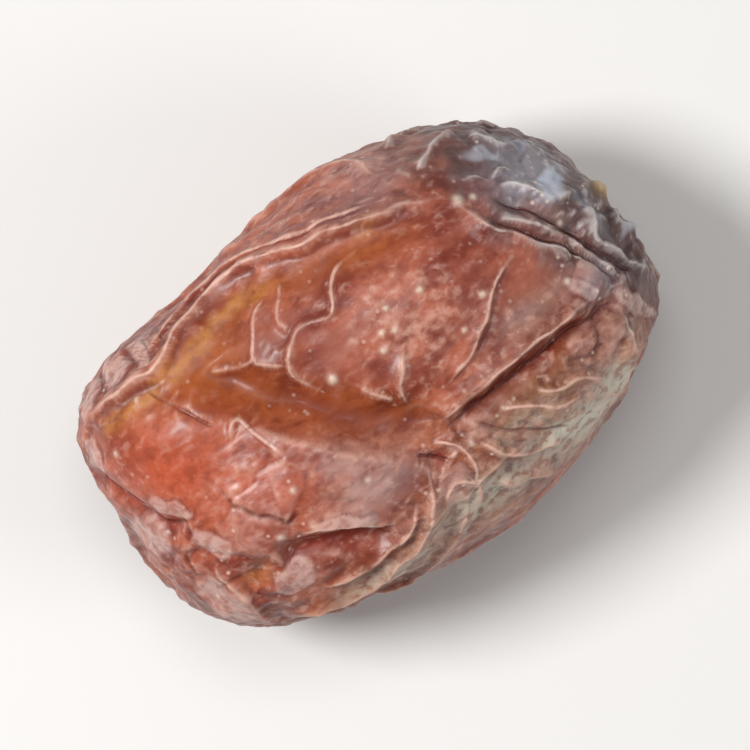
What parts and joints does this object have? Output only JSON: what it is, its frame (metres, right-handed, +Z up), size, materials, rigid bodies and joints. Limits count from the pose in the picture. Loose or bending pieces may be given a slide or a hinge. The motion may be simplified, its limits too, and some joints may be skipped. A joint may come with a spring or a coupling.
{
  "type": "khasui date",
  "caption": "Whole dried date lying on its side: a plump wrinkled fruit with a creased, sunken top, a stem scar at one end and a crumpled tip at the other.",
  "frame": {"origin": "middle of the bounding box's bottom, in the plane of the flat spot that the fruit lies on", "axes": "+X along the fruit to its blossom tip, +Z up out of its creased top"},
  "size_m": [0.0356, 0.0246, 0.0206],
  "materials": {
    "skin": "half-glossy, waxy, wrinkled fruit skin"
  },
  "bodies": {
    "root": {"date_fruit": "skin"}
  },
  "joints": []
}
